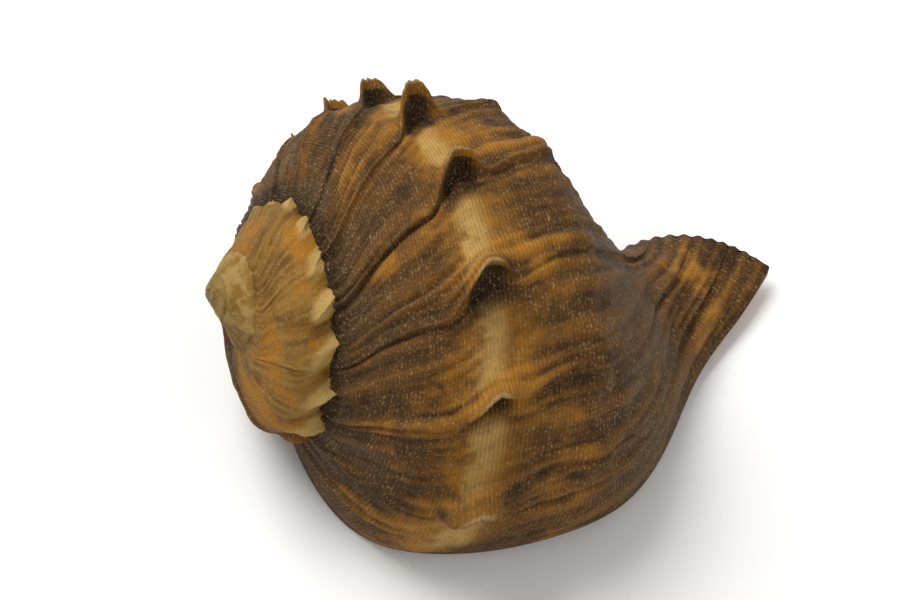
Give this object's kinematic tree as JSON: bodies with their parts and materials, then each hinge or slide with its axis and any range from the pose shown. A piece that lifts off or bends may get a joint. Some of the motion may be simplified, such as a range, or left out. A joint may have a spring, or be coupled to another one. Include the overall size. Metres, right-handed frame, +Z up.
{
  "type": "murex shell",
  "caption": "Heavy spiral sea shell lying on its mouth, with a spined shoulder keel, folded whorls, an open hollow mouth and a short flared canal.",
  "frame": {"origin": "centre of the bounding box at its bottom, where the shell rests", "axes": "+Z up as it lies on its mouth, +X from the spire towards the canal, +Y away from the lip's side"},
  "size_m": [0.0852, 0.07, 0.0522],
  "materials": {
    "shell": "weathered, matt to satin"
  },
  "bodies": {
    "root": {"shell": "shell"}
  },
  "joints": []
}
